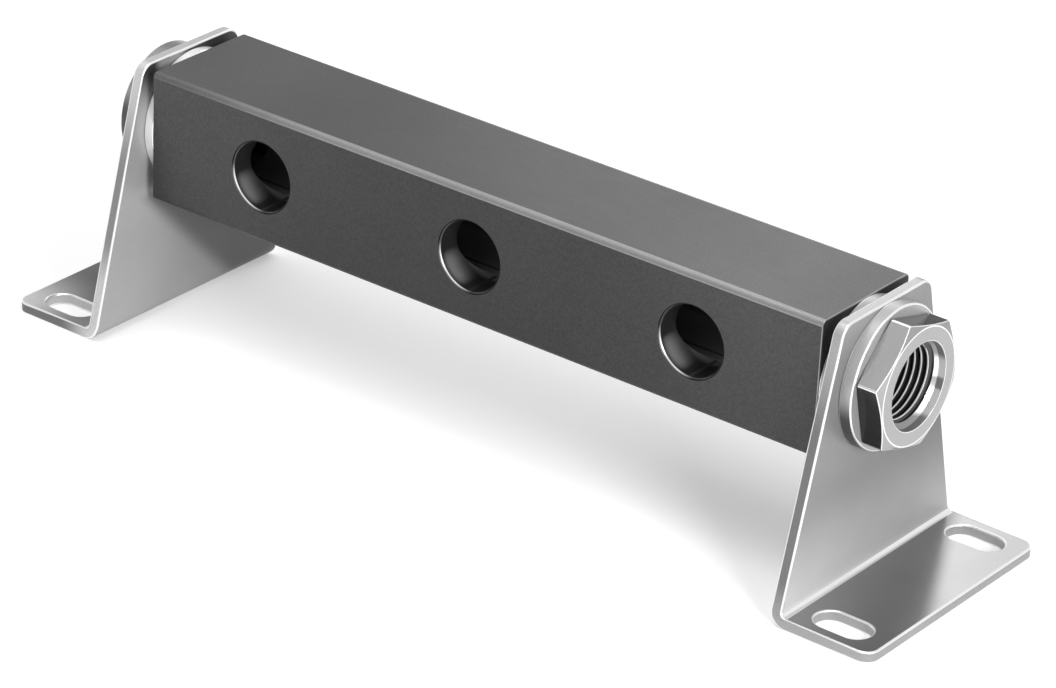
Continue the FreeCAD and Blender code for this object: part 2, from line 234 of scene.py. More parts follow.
def turned(name, profile, steps=TURNED_STEPS):
    """A closed solid turned round the rail's axis from (x, radius) pairs.

    A profile that starts on the axis also ends there. Any other is closed by its last side.
    """
    bm = bmesh.new()
    verts = [bm.verts.new((x, 0, radius)) for x, radius in profile]
    following = verts[1:] if profile[0][1] == 0 else verts[1:] + verts[:1]
    edges = [bm.edges.new(pair) for pair in zip(verts, following)]
    bmesh.ops.spin(
        bm, geom=verts + edges, cent=(0, 0, 0), axis=(1, 0, 0),
        angle=math.tau, steps=steps, use_merge=True,
    )
    bmesh.ops.remove_doubles(bm, verts=bm.verts, dist=SMALL)
    bmesh.ops.recalc_face_normals(bm, faces=bm.faces)
    bmesh.ops.translate(bm, vec=(0, 0, AXIS_HEIGHT), verts=bm.verts)
    return mesh_of(bm, name)


def combined(body, tool, operation="DIFFERENCE"):
    """A closed mesh cut by another, or kept only inside it. Both are used up."""
    holder = bpy.data.objects.new("holder", body)
    cutter = bpy.data.objects.new("cutter", tool)
    for item in (holder, cutter):
        bpy.context.scene.collection.objects.link(item)
    step = holder.modifiers.new("combine", "BOOLEAN")
    step.operation = operation
    step.solver = "EXACT"
    step.object = cutter
    made = holder.evaluated_get(bpy.context.evaluated_depsgraph_get())
    result = bpy.data.meshes.new_from_object(made)
    for item in (holder, cutter):
        bpy.data.objects.remove(item)
    for used in (body, tool):
        bpy.data.meshes.remove(used)
    return result


def rail_mesh():
    """The square bar with its gallery, end bores and cross holes."""
    bm = bmesh.new()
    bmesh.ops.create_cube(bm, size=1)
    bmesh.ops.scale(bm, vec=RAIL_SIZE, verts=bm.verts)
    rounded(bm, of_length(bm.edges, RAIL_SIZE.x), RAIL_EDGE_RADIUS, segments=8)
    ends = edges_where(bm, lambda point: near(abs(point.x), RAIL_END))
    rounded(bm, ends, RAIL_END_EDGE, segments=2)
    bmesh.ops.translate(bm, vec=(0, 0, AXIS_HEIGHT), verts=bm.verts)
    rail = mesh_of(bm, "rail")

    past = RAIL_END + REACH
    lead_in = RAIL_END - END_BORE_CHAMFER
    bore_floor = RAIL_END - END_BORE_DEPTH
    half = [
        (bore_floor, GALLERY_RADIUS),
        (bore_floor, END_BORE_RADIUS),
        (lead_in, END_BORE_RADIUS),
        (past, END_BORE_RADIUS + END_BORE_CHAMFER + past - RAIL_END),
        (past, 0),
    ]
    gallery = [(-x, radius) for x, radius in reversed(half)] + half
    rail = combined(rail, turned("gallery", gallery))

    # Each cross hole is turned along X, then stood along Y at its place
    past_face = RAIL_HALF_WIDTH + REACH
    mouth = CROSS_HOLE_RADIUS + CROSS_HOLE_CHAMFER
    hole = [
        (-past_face, 0),
        (-past_face, mouth + past_face - RAIL_HALF_WIDTH),
        (CROSS_HOLE_CHAMFER - RAIL_HALF_WIDTH, CROSS_HOLE_RADIUS),
        (RAIL_HALF_WIDTH - CROSS_HOLE_CHAMFER, CROSS_HOLE_RADIUS),
        (past_face, mouth + past_face - RAIL_HALF_WIDTH),
        (past_face, 0),
    ]
    for place in CROSS_HOLE_PLACES:
        cutter = turned("cross_hole", hole, CROSS_HOLE_STEPS)
        cutter.transform(Matrix.Translation((place, 0, 0)) @ Matrix.Rotation(math.pi / 2, 4, "Z"))
        rail = combined(rail, cutter)

    # The edges with a painted highlight are the two upper long ones and those round the ends
    flat = RAIL_HALF_WIDTH - RAIL_EDGE_RADIUS
    bm = bmesh_of(rail)
    for face in bm.faces:
        middle = face.calc_center_median()
        across = min(abs(middle.x - place) for place in CROSS_HOLE_PLACES)
        off_axis = math.hypot(across, middle.z - AXIS_HEIGHT)
        slants = abs(face.normal.y) < LEAD_IN_MOST
        if abs(face.normal.y) > SQUARE or abs(face.normal.z) > SQUARE:
            continue
        # The rail's flat ends are painted near black: painted shade in the gap before each
        # bracket
        if abs(face.normal.x) > SQUARE and near(abs(middle.x), RAIL_END):
            face.material_index = RAIL_SHADED_END
        elif off_axis < CROSS_HOLE_RADIUS + SMALL or from_axis(middle) < END_BORE_RADIUS + SMALL:
            face.material_index = RAIL_BORE
        elif slants and off_axis < CROSS_HOLE_RADIUS + CROSS_HOLE_CHAMFER:
            face.material_index = RAIL_LEAD_IN
        elif middle.z - AXIS_HEIGHT > flat and abs(middle.y) > flat:
            face.material_index = RAIL_HIGHLIGHT
        elif RAIL_END - RAIL_END_EDGE < abs(middle.x) < RAIL_END - SMALL:
            face.material_index = RAIL_HIGHLIGHT
    return mesh_of(bm, "rail")


def slot_cutter(side):
    """The slot at one side of the foot: a cylinder pulled apart along X."""
    bm = bmesh.new()
    bmesh.ops.create_cone(
        bm, cap_ends=True, segments=SLOT_STEPS, radius1=SLOT_RADIUS, radius2=SLOT_RADIUS,
        depth=4 * SHEET,
    )
    half_step = Matrix.Rotation(math.pi / SLOT_STEPS, 4, "Z")
    bmesh.ops.transform(bm, matrix=half_step, verts=bm.verts)
    for vert in bm.verts:
        vert.co.x += math.copysign(SLOT_HALF_RUN, vert.co.x)
    bmesh.ops.translate(bm, vec=(SLOT_X, side * SLOT_Y, 0), verts=bm.verts)
    return mesh_of(bm, "slot")


def bracket_mesh():
    """The right-hand bracket: an L section, folded, tapered, then punched."""
    bm = bmesh.new()
    outline = [
        (BRACKET_FACE, 0),
        (FOOT_END, 0),
        (FOOT_END, SHEET),
        (BRACKET_FACE + SHEET, SHEET),
        (BRACKET_FACE + SHEET, UPRIGHT_TOP),
        (BRACKET_FACE, UPRIGHT_TOP),
    ]
    section = bm.faces.new([bm.verts.new((x, -FOOT_HALF_WIDTH, z)) for x, z in outline])
    grown = bmesh.ops.extrude_face_region(bm, geom=[section])
    far_side = [item for item in grown["geom"] if isinstance(item, bmesh.types.BMVert)]
    bmesh.ops.translate(bm, vec=(0, 2 * FOOT_HALF_WIDTH, 0), verts=far_side)
    bmesh.ops.recalc_face_normals(bm, faces=bm.faces)

    inside = edges_where(
        bm, lambda point: near(point.x, BRACKET_FACE + SHEET) and near(point.z, SHEET)
    )
    rounded(bm, inside, BEND_RADIUS, segments=6)
    outside = edges_where(bm, lambda point: near(point.x, BRACKET_FACE) and near(point.z, 0))
    rounded(bm, outside, BEND_RADIUS + SHEET, segments=12)

    # Above the foot's upper face the sheet narrows evenly to its top edge
    bmesh.ops.bisect_plane(
        bm, geom=bm.verts[:] + bm.edges[:] + bm.faces[:], dist=SMALL,
        plane_co=(0, 0, SHEET), plane_no=(0, 0, 1),
    )
    slope = (FOOT_HALF_WIDTH - UPRIGHT_TOP_HALF_WIDTH) / (UPRIGHT_TOP - SHEET)
    for vert in bm.verts:
        rise = max(vert.co.z - SHEET, 0)
        vert.co.y = math.copysign(FOOT_HALF_WIDTH - slope * rise, vert.co.y)

    corner_angle = math.pi / 2 + math.atan(slope)
    top_edges = edges_where(bm, lambda point: near(point.z, UPRIGHT_TOP))
    top_corner = TOP_CORNER_RADIUS / math.tan(corner_angle / 2)
    rounded(bm, of_length(top_edges, SHEET), top_corner, segments=10)
    end_edges = edges_where(bm, lambda point: near(point.x, FOOT_END))
    rounded(bm, of_length(end_edges, SHEET), FOOT_CORNER_RADIUS, segments=10)
    bracket = mesh_of(bm, "bracket")

    shank_hole = [
        (BRACKET_FACE - REACH, 0),
        (BRACKET_FACE - REACH, SLIP_BORE_RADIUS),
        (BRACKET_FACE + SHEET + REACH, SLIP_BORE_RADIUS),
        (BRACKET_FACE + SHEET + REACH, 0),
    ]
    bracket = combined(bracket, turned("shank_hole", shank_hole, SHANK_HOLE_STEPS))
    for side in (-1, 1):
        bracket = combined(bracket, slot_cutter(side))

    bm = bmesh_of(bracket)
    rims = sharp_edges(
        bm, SHEET_RIM_ANGLE, lambda point: from_axis(point) > SLIP_BORE_RADIUS + RIM_SPACING
    )
    rounded_rims(bm, rims, SHEET_EDGE, segments=3)
    # The foot keeps the first finish. The outside of the fold is like the upright, and the
    # foot of the fold's inside is as bright as the rims, a painted highlight
    for face in bm.faces:
        middle = face.calc_center_median()
        normal = face.normal
        upright = middle.z > SHEET + BEND_RADIUS
        on_foot = middle.x > BRACKET_BACK + BEND_RADIUS
        through = (upright and abs(normal.x) < MOSTLY) or (on_foot and abs(normal.z) < MOSTLY)
        if face.material_index == EDGE:
            continue
        if through or abs(normal.y) > MOSTLY:
            face.material_index = SHEARED
        elif upright or not on_foot:
            in_fold = not upright and normal.x > 0 and normal.z > FOLD_FOOT_LEAST
            face.material_index = EDGE if in_fold else UPRIGHT
    for vert in bm.verts:
        vert.co.y = max(-FOOT_HALF_WIDTH, min(vert.co.y, FOOT_HALF_WIDTH))
    return mesh_of(bm, "bracket")


def ring_mesh(start, end, radius):
    """A turned ring with rounded rims, between two places along the axis."""
    section = [
        (start, SLIP_BORE_RADIUS),
        (end, SLIP_BORE_RADIUS),
        (end, radius),
        (start, radius),
    ]
    bm = bmesh_of(turned("ring", section))
    rims = sharp_edges(bm, RIM_ANGLE, lambda point: from_axis(point) > radius - RIM_SPACING)
    rounded_rims(bm, rims, RING_EDGE, segments=4)
    return mesh_of(bm, "ring")


def thread_plug(start, end):
    """A threaded plug between two places along the axis: the shape that the thread cuts."""
    depth = THREAD_ROOT_RADIUS - CREST_RADIUS
    flank = depth - 2 * THREAD_ROUNDING * (1 - math.sin(THREAD_FLANK_ANGLE))
    half_pitch = THREAD_PITCH / 2
    half_flat = THREAD_PITCH / 4 - math.tan(THREAD_FLANK_ANGLE) * flank / 2
    inner_flat = half_flat * 0.6
    shoulder = (depth - flank) / 2
    turn = [
        (0, CREST_RADIUS),
        (inner_flat, CREST_RADIUS + THREAD_EASE),
        (half_flat, CREST_RADIUS + shoulder),
        (half_pitch - half_flat, THREAD_ROOT_RADIUS - shoulder),
        (half_pitch - inner_flat, THREAD_ROOT_RADIUS - THREAD_EASE),
        (half_pitch + inner_flat, THREAD_ROOT_RADIUS - THREAD_EASE),
        (half_pitch + half_flat, THREAD_ROOT_RADIUS - shoulder),
        (THREAD_PITCH - half_flat, CREST_RADIUS + shoulder),
        (THREAD_PITCH - inner_flat, CREST_RADIUS + THREAD_EASE),
        (THREAD_PITCH, CREST_RADIUS),
    ]
    # The helix starts before the plug and ends after it, and is then cut to length
    turns = math.ceil((end - start) / THREAD_PITCH) + 2
    bm = bmesh.new()
    first = start - 1.5 * THREAD_PITCH
    verts = [bm.verts.new((first + x, 0, radius)) for x, radius in turn]
    edges = [bm.edges.new(pair) for pair in zip(verts, verts[1:])]
    bmesh.ops.spin(
        bm, geom=verts + edges, cent=(0, 0, 0), axis=(1, 0, 0),
        dvec=(THREAD_PITCH / THREAD_STEPS, 0, 0), angle=math.tau * turns,
        steps=THREAD_STEPS * turns,
    )
    bmesh.ops.remove_doubles(bm, verts=bm.verts, dist=SMALL)
    for place, facing in ((start, -1), (end, 1)):
        bmesh.ops.bisect_plane(
            bm, geom=bm.verts[:] + bm.edges[:] + bm.faces[:], dist=SMALL / 10,
            plane_co=(place, 0, 0), plane_no=(facing, 0, 0), clear_outer=True,
        )
        rim = [edge for edge in bm.edges if edge.is_boundary and near(edge.verts[0].co.x, place)]
        bmesh.ops.contextual_create(bm, geom=rim)
    bmesh.ops.recalc_face_normals(bm, faces=bm.faces)
    bmesh.ops.translate(bm, vec=(0, 0, AXIS_HEIGHT), verts=bm.verts)
    return mesh_of(bm, "thread_plug")


def corner_radius_of(across_flats):
    """Distance of a hexagon's corners from its middle."""
    return across_flats / 2 / math.cos(HEX_HALF_SIDE)


def hexagon_bar(start, end, across_flats, turn):
    """A hexagonal prism along X. One corner is turned from straight up towards -Y."""
    corner_radius = corner_radius_of(across_flats)
    bm = bmesh.new()
    bmesh.ops.create_cone(
        bm, cap_ends=True, segments=6, radius1=corner_radius, radius2=corner_radius,
        depth=end - start,
    )
    # Two of the corners that the cone starts with lie on Y, 30 degrees from one that lies up
    lay = Matrix.Rotation(turn + HEX_HALF_SIDE, 4, "X") @ Matrix.Rotation(math.pi / 2, 4, "Y")
    middle = Matrix.Translation(((start + end) / 2, 0, AXIS_HEIGHT))
    bmesh.ops.transform(bm, matrix=middle @ lay, verts=bm.verts)
    return mesh_of(bm, "hexagon")


def plug_mesh():
    """The blanking plug, as a right-hand piece: a round head with a hexagon socket."""
    profile = [
        (SHANK_TIP, 0),
        (SHANK_TIP, SHANK_RADIUS - SHANK_CHAMFER),
        (SHANK_TIP + SHANK_CHAMFER, SHANK_RADIUS),
        (BRACKET_BACK, SHANK_RADIUS),
        (BRACKET_BACK, PLUG_RADIUS),
        (PLUG_FACE, PLUG_RADIUS),
        (PLUG_FACE, 0),
    ]
    bm = bmesh_of(turned("plug", profile))
    rim = sharp_edges(bm, RIM_ANGLE, lambda point: near(point.x, PLUG_FACE))
    rounded_rims(bm, rim, PLUG_EDGE, segments=4)
    socket = hexagon_bar(PLUG_FACE - SOCKET_DEPTH, PLUG_FACE + REACH, SOCKET_ACROSS_FLATS, 0)
    bm = bmesh_of(combined(mesh_of(bm, "plug"), socket))
    mouth = sharp_edges(
        bm, RIM_ANGLE,
        lambda point: near(point.x, PLUG_FACE) and from_axis(point) < SOCKET_ACROSS_FLATS,
    )
    rounded_rims(bm, mouth, SOCKET_EDGE, segments=2)
    return mesh_of(bm, "plug")


def fitting_mesh():
    """The right-hand fitting: a chamfered hexagon on a hollow shank, with a tapped port."""
    # Each chamfer drops to the hexagon's corner, and goes on as far again past it
    past = 2 * corner_radius_of(HEX_ACROSS_FLATS) - HEX_LAND_RADIUS
    lead_in = HEX_FACE - MOUTH_DEPTH
    port_floor = HEX_FACE - PORT_THREAD_DEPTH
    profile = [
        (SHANK_TIP, PASSAGE_RADIUS),
        (port_floor - (CREST_RADIUS - PASSAGE_RADIUS), PASSAGE_RADIUS),
        (port_floor, CREST_RADIUS),
        (lead_in - (MOUTH_RADIUS - CREST_RADIUS), CREST_RADIUS),
        (lead_in, MOUTH_RADIUS),
        (HEX_FACE, MOUTH_RADIUS),
        (HEX_FACE, HEX_LAND_RADIUS),
        (HEX_FACE - 2 * HEX_FRONT_DROP, past),
        (HEX_SEAT + 2 * HEX_BACK_DROP, past),
        (HEX_SEAT, HEX_LAND_RADIUS),
        (HEX_SEAT, SHANK_RADIUS),
        (SHANK_TIP + SHANK_CHAMFER, SHANK_RADIUS),
        (SHANK_TIP, SHANK_RADIUS - SHANK_CHAMFER),
    ]

    # The turned blank is kept where a longer hexagon bar is: that leaves the shank round
    bar_start, bar_end = SHANK_TIP - REACH, HEX_FACE + REACH
    bm = bmesh_of(hexagon_bar(bar_start, bar_end, HEX_ACROSS_FLATS, HEX_TURN))
    rounded_rims(bm, of_length(bm.edges, bar_end - bar_start), HEX_CORNER_EDGE, segments=3)
    fitting = combined(mesh_of(bm, "bar"), turned("blank", profile), "INTERSECT")

    # Edges of the hexagon's front chamfer, and of the mouth: one face leans more along the axis
    least_lean = 0.03
    front_half = (HEX_SEAT + HEX_FACE) / 2
    chamfer_start = HEX_LAND_RADIUS - 0.05 * MM
    bm = bmesh_of(fitting)
    bmesh.ops.remove_doubles(bm, verts=bm.verts, dist=WELD)
    edges = [
        edge
        for edge in edges_where(
            bm, lambda point: point.x > front_half
            and (near(point.x, HEX_FACE) or from_axis(point) > chamfer_start),
        )
        if abs(edge.link_faces[0].normal.x - edge.link_faces[1].normal.x) > least_lean
    ]
    rounded_rims(bm, edges, HEX_EDGE, segments=2)
    fitting = combined(
        mesh_of(bm, "fitting"), thread_plug(port_floor + THREAD_RUN_OUT, lead_in - THREAD_LEAD)
    )

    # The mouth's finish takes in the cone that leads to the thread
    mouth_start = lead_in - 2 * MM
    cone_normal = math.sqrt(0.5)
    bm = bmesh_of(fitting)
    for face in bm.faces:
        middle = face.calc_center_median()
        radius = from_axis(middle)
        on_cone = abs(face.normal.x - cone_normal) < 0.01
        # Grooves are painted near black as painted shade, and crests light as painted highlights
        if port_floor < middle.x < lead_in and radius < THREAD_ROOT_RADIUS and not on_cone:
            face.material_index = GROOVE if radius > CREST_RADIUS + GROOVE_START else CREST
        elif mouth_start < middle.x < HEX_FACE and radius < MOUTH_RADIUS + SMALL:
            face.material_index = MOUTH
    return mesh_of(bm, "fitting")


def set_inputs(tree, node, inputs):
    """Sets each input to a value, or links it to another node's output."""
    for socket, source in inputs.items():
        if isinstance(source, bpy.types.NodeSocket):
            tree.links.new(source, node.inputs[socket])
        else:
            node.inputs[socket].default_value = source


def add_node(tree, kind, inputs=None, **settings):
    """A shader node with its settings and inputs."""
    node = tree.nodes.new(kind)
    for field, setting in settings.items():
        setattr(node, field, setting)
    set_inputs(tree, node, inputs or {})
    return node


def blank_material(name):
    material = bpy.data.materials.new(name)
    material.use_nodes = True
    return material, material.node_tree, material.node_tree.nodes["Principled BSDF"]


def noise(tree, place, scale, detail=2.0):
    return add_node(
        tree, "ShaderNodeTexNoise", {"Vector": place, "Scale": scale, "Detail": detail}
    ).outputs["Fac"]


def spread(tree, source, low, high, start=0.25, end=0.75):
    """A pattern stretched to run from low to high as it goes from start to end.

    It stays at low before start and at high after end, and low may be the larger of the two.
    """
    return add_node(
        tree, "ShaderNodeMapRange",
        {"Value": source, "From Min": start, "From Max": end, "To Min": low, "To Max": high},
        interpolation_type="SMOOTHSTEP",
    ).outputs["Result"]


def put_together(tree, operation, *values):
    """Values put together one after another by an operation."""
    result = values[0]
    for value in values[1:]:
        result = add_node(
            tree, "ShaderNodeMath", {0: result, 1: value}, operation=operation
        ).outputs["Value"]
    return result


def product(tree, *factors):
    return put_together(tree, "MULTIPLY", *factors)


def greatest(tree, *values):
    return put_together(tree, "MAXIMUM", *values)


def weighted_sum(tree, *terms):
    """The sum of measures, each given with its weight."""
    return put_together(tree, "ADD", *[product(tree, *term) for term in terms])


def parts_of(tree, vector):
    """The X, Y and Z of a place or a direction."""
    return add_node(tree, "ShaderNodeSeparateXYZ", {"Vector": vector}).outputs


def facing(tree):
    """The X, Y and Z of the way that a face looks."""
    return parts_of(tree, add_node(tree, "ShaderNodeNewGeometry").outputs["Normal"])


def above_axis(tree, parts):
    """How far a place lies above the rail's axis."""
    return put_together(tree, "SUBTRACT", parts["Z"], AXIS_HEIGHT)


def sheet_grain(tree, place):
    """The fine lines of rolled or drawn metal, along the object's length."""
    along = add_node(tree, "ShaderNodeMapping", {"Vector": place, "Scale": (150, 1400, 1400)})
    return noise(tree, along.outputs["Vector"], scale=1.0, detail=3.0)


def turning_marks(tree, place):
    """The fine rings that a lathe leaves about the rail's axis."""
    parts = parts_of(tree, place)
    beside = add_node(
        tree, "ShaderNodeCombineXYZ", {"Y": parts["Y"], "Z": above_axis(tree, parts)}
    )
    radius = add_node(
        tree, "ShaderNodeVectorMath", {"Vector": beside.outputs["Vector"]}, operation="LENGTH"
    ).outputs["Value"]
    rings = add_node(tree, "ShaderNodeCombineXYZ", {"X": parts["X"], "Y": radius})
    return noise(tree, rings.outputs["Vector"], scale=1800.0, detail=1.0)


def metal_finish(name, grey, metallic, roughness, grain, bump, speckle, tone):
    """A satin metal: slow mottling and a fine speckle in its grey, and a grain in its shine.

    tone is called with the shader tree and the place, and gives a factor on the grey that paints
    light and shade into it.
    """
    material, tree, shader = blank_material(name)
    place = add_node(tree, "ShaderNodeTexCoord").outputs["Object"]
    mottle = spread(tree, noise(tree, place, scale=45.0), 0.96, 1.04)
    fine = spread(tree, noise(tree, place, scale=2200.0, detail=1.0), 1 - speckle, 1 + speckle)
    level = product(tree, mottle, fine, grey)
    if tone:
        level = product(tree, level, tone(tree, place))
    lines = grain(tree, place)
    shine = spread(tree, lines, roughness - 0.02, roughness + 0.02)
    relief = add_node(
        tree, "ShaderNodeBump", {"Height": lines, "Strength": bump, "Distance": 0.01 * MM}
    )
    set_inputs(tree, shader, {
        "Base Color": level, "Metallic": metallic, "Roughness": shine,
        "Normal": relief.outputs["Normal"],
    })
    return material


def highlight_fading_left(tree, place):
    """The painted highlight along the rail's edges fades towards the left-hand end."""
    return spread(tree, parts_of(tree, place)["X"], 0.45, 1.0, -105 * MM, -40 * MM)


def rail_painted_sheen(tree, place):
    """Painted light: the anodised rail is lighter on top, towards its ends and towards its upper
    edge.
    """
    parts = parts_of(tree, place)
    from_middle = product(tree, parts["X"], parts["X"])
    ends = spread(tree, from_middle, 0.74, 1.0, (5 * MM) ** 2, (85 * MM) ** 2)
    height = spread(tree, parts["Z"], 0.88, 1.04, AXIS_HEIGHT - 16 * MM, AXIS_HEIGHT + 16 * MM)
    top = spread(tree, facing(tree)["Z"], 1.0, 1.46, 0.4, 0.9)
    return product(tree, ends, height, top)


def low_left_side(tree, place, elsewhere, start):
    """1 at the lower left of a cross hole's wall, and another factor elsewhere.

    It changes from a given part of the hole's radius, measured from the axis to the lower left.
    """
    parts = parts_of(tree, place)
    half_pitch = (CROSS_HOLE_PLACES[1] - CROSS_HOLE_PLACES[0]) / 2
    beside = add_node(
        tree, "ShaderNodeMath", {0: parts["X"], 1: half_pitch, 2: -half_pitch}, operation="WRAP"
    ).outputs["Value"]
    away = weighted_sum(tree, (beside, LEFTWARD), (above_axis(tree, parts), DOWNWARD))
    return spread(tree, away, elsewhere, 1.0, start * CROSS_HOLE_RADIUS, CROSS_HOLE_RADIUS)


def by_depth(tree, place, low, high, deep, shallow):
    """A factor that goes from low to high between two depths below the front or back face."""
    across = parts_of(tree, place)["Y"]
    return spread(
        tree, product(tree, across, across), low, high,
        (RAIL_HALF_WIDTH - deep) ** 2, (RAIL_HALF_WIDTH - shallow) ** 2,
    )


def bore_painted_glow(tree, place):
    """Painted highlight: a cross hole's wall shines just inside, at its lower left, and is dull
    round about.
    """
    lit = by_depth(tree, place, 0.2, 1.0, 9 * MM, 2.6 * MM)
    shaded = by_depth(tree, place, 1.0, 0.3, 2.4 * MM, 0.6 * MM)
    side = low_left_side(tree, place, 0.0, 0.8)
    dull = by_depth(tree, place, 1.0, 0.1, 10 * MM, 7.5 * MM)
    return greatest(tree, product(tree, lit, shaded, side), dull)


def lead_in_painted_highlight(tree, place):
    """Painted highlight: the lead-in of a cross hole is brightest at its lower left, and dull at
    its outer edge.
    """
    outer = by_depth(tree, place, 1.0, 0.15, 0.32 * MM, 0.16 * MM)
    return product(tree, low_left_side(tree, place, 0.12, 0.6), outer)


def of_each_end(tree, place, left, right):
    """One factor for the left-hand bracket and another for the right-hand one."""
    along = parts_of(tree, place)["X"]
    at_left = spread(tree, along, 1.0, 0.0, -BRACKET_FACE, BRACKET_FACE)
    at_right = spread(tree, along, 0.0, 1.0, -BRACKET_FACE, BRACKET_FACE)
    return weighted_sum(tree, (left, at_left), (right, at_right))


def sheared_side_painted_sheen(tree, place):
    """Painted highlight: the sheet's sheared side is brightest near the top corner, and bright
    low down.

    At the left-hand end the side of the foot has painted shade, and the slot's wall less so.
    """
    parts = parts_of(tree, place)
    high = spread(tree, parts["Z"], 1.0, 2.25, 44 * MM, 66 * MM)
    right = spread(tree, parts["Z"], 1.7, 1.0, 3 * MM, 12 * MM)
    fold = spread(tree, parts["Z"], 2.7, 1.3, 14 * MM, 28 * MM)
    foot = spread(tree, parts["Y"], 0.27, 0.9, -34.5 * MM, -33.5 * MM)
    left = product(tree, fold, spread(tree, parts["X"], foot, 1.0, -118 * MM, -106 * MM))
    return product(tree, high, of_each_end(tree, place, left, right))


def foot_painted_sheen(tree, place):
    """Painted sheen: the right-hand foot is brightest towards its outer back corner.

    The left-hand one is brightest at its outer front corner.
    """
    parts = parts_of(tree, place)
    slant = weighted_sum(
        tree, (parts["X"], 1 / FOOT_SHINE_LENGTH), (parts["Y"], 1 / FOOT_SHINE_WIDTH)
    )
    right = spread(tree, slant, 0.95, 1.95, 5.18, 5.42)
    outer = spread(tree, parts["X"], 2.1, 0.7, -FOOT_END, -113 * MM)
    left = product(tree, outer, spread(tree, parts["Y"], 1.3, 0.3, -36 * MM, -10 * MM))
    return of_each_end(tree, place, left, right)


def right_upright_painted_light(tree, place):
    """Painted light: the right-hand upright is brightest low at the front, and at its back top
    corner.
    """
    parts = parts_of(tree, place)
    low = spread(tree, parts["Z"], 2.15, 0.85, 4 * MM, 32 * MM)
    front = spread(tree, parts["Y"], 1.05, 0.6, -34 * MM, 20 * MM)
    back_top = weighted_sum(tree, (parts["Z"], 1), (parts["Y"], 0.6))
    top = spread(tree, back_top, 1.0, 1.6, 50 * MM, 68 * MM)
    return product(tree, low, front, top)


def left_upright_painted_shading(tree, place):
    """Painted light and shade: the left-hand upright is lightest at the front, and dark where it
    faces the rail.

    The painted shade is behind the rail's end, but for a light place above the ring's front, and
    in a slanting patch under the rail, a painted shadow of the rail.
    """
    parts = parts_of(tree, place)
    front = spread(tree, parts["Y"], 1.0, 0.8, -30 * MM, 10 * MM)
    above_ring = weighted_sum(tree, (parts["Z"], 1), (parts["Y"], 0.55))
    shade = spread(tree, above_ring, 0.0, 0.9, 50 * MM, 61 * MM)
    light = greatest(
        tree,
        spread(tree, parts["Y"], 1.0, 0.15, -14 * MM, -11 * MM),
        spread(tree, parts["Y"], 0.15, 1.0, -5 * MM, 0.0),
    )
    under_rail = weighted_sum(tree, (parts["Z"], 1), (parts["Y"], 1))
    below = product(
        tree,
        spread(tree, parts["Z"], 0.6, 0.0, 33 * MM, 37 * MM),
        spread(tree, under_rail, 0.0, 1.0, 14 * MM, 22 * MM),
    )
    facing_rail = spread(tree, parts["X"], 0.0, 1.0, -BRACKET_BACK, -BRACKET_FACE)
    dark = product(tree, greatest(tree, product(tree, shade, light), below), facing_rail)
    return product(tree, front, put_together(tree, "SUBTRACT", 1, dark))


def painted_shade_below(tree, place):
    """Painted shade: faces that look down are darker."""
    return spread(tree, facing(tree)["Z"], 0.22, 1.0, -0.3, 0.05)


def hexagon_painted_shade(tree, place):
    """Painted shade: the hexagon's upper flat and the flats that look down are painted dark.

    Its face and the front chamfer are painted a little darker than the other flats, and the
    chamfer most at the back, where it would mirror the white studio.
    """
    parts = facing(tree)
    level = weighted_sum(tree, (parts["Z"], 1), (parts["X"], 0.4))
    lower = spread(tree, level, 0.1, 1.0, -0.3, 0.05)
    upper = spread(tree, parts["Z"], 1.0, 0.4, 0.85, 0.94)
    outward = spread(tree, parts["X"], 1.0, 0.82, 0.5, 0.95)
    behind = weighted_sum(tree, (parts["X"], 1), (parts["Y"], 1))
    backward = spread(tree, behind, 1.0, 0.62, 1.04, 1.18)
    return product(tree, product(tree, lower, upper), product(tree, outward, backward))


def mouth_painted_reflection(tree, place):
    """Painted reflection: the wall of the port's mouth is dark at the top and the foot, with a
    dark spot between.
    """
    parts = parts_of(tree, place)
    level = weighted_sum(tree, (above_axis(tree, parts), MOUTH_RISE), (parts["Y"], MOUTH_BACK))

    def between(low, high, start, end):
        return spread(tree, level, low, high, start * MOUTH_RADIUS, end * MOUTH_RADIUS)

    top = between(1.0, 0.3, 0.42, 0.62)
    spot = greatest(tree, between(0.35, 1.0, 0.02, 0.1), between(1.0, 0.35, -0.22, -0.16))
    foot = between(0.3, 1.0, -0.8, -0.68)
    return product(tree, top, spot, foot)


def plug_painted_light(tree, place):
    """Painted light: the plug's rim is bright on top and dull at the sides."""
    return spread(tree, facing(tree)["Z"], 0.25, 1.0, 0.15, 0.6)


def add_piece(name, mesh, node, finish_names):
    """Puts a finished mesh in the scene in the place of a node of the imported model."""
    mesh.name = name
    for finish_name in finish_names:
        mesh.materials.append(finishes[finish_name])
    mesh.shade_smooth()
    mesh.set_sharp_from_angle(angle=SHADING_ANGLE)
    piece = bpy.data.objects.new(name, mesh)
    bpy.context.scene.collection.objects.link(piece)
    even = piece.modifiers.new("even_shading", "WEIGHTED_NORMAL")
    even.keep_sharp = True
    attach(piece, "root")
    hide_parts(node)


def turned_round(mesh):
    """A right-hand piece as its left-hand twin, half a turn about the upright axis."""
    twin = mesh.copy()
    twin.transform(Matrix.Rotation(math.pi, 4, "Z"))
    return twin


def seen_directly(tree):
    """1 for what the camera, a reflection or a clear body shows, 0 for what lights the object."""
    path = add_node(tree, "ShaderNodeLightPath").outputs
    return greatest(
        tree, path["Is Camera Ray"], path["Is Glossy Ray"], path["Is Transmission Ray"]
    )


def staged_grid(name, half_size, divisions, material):
    """A flat square that is only there for the picture."""
    bm = bmesh.new()
    bmesh.ops.create_grid(bm, x_segments=divisions, y_segments=divisions, size=half_size)
    mesh = mesh_of(bm, name)
    mesh.materials.append(material)
    grid = bpy.data.objects.new(name, mesh)
    bpy.context.scene.collection.objects.link(grid)
    return grid


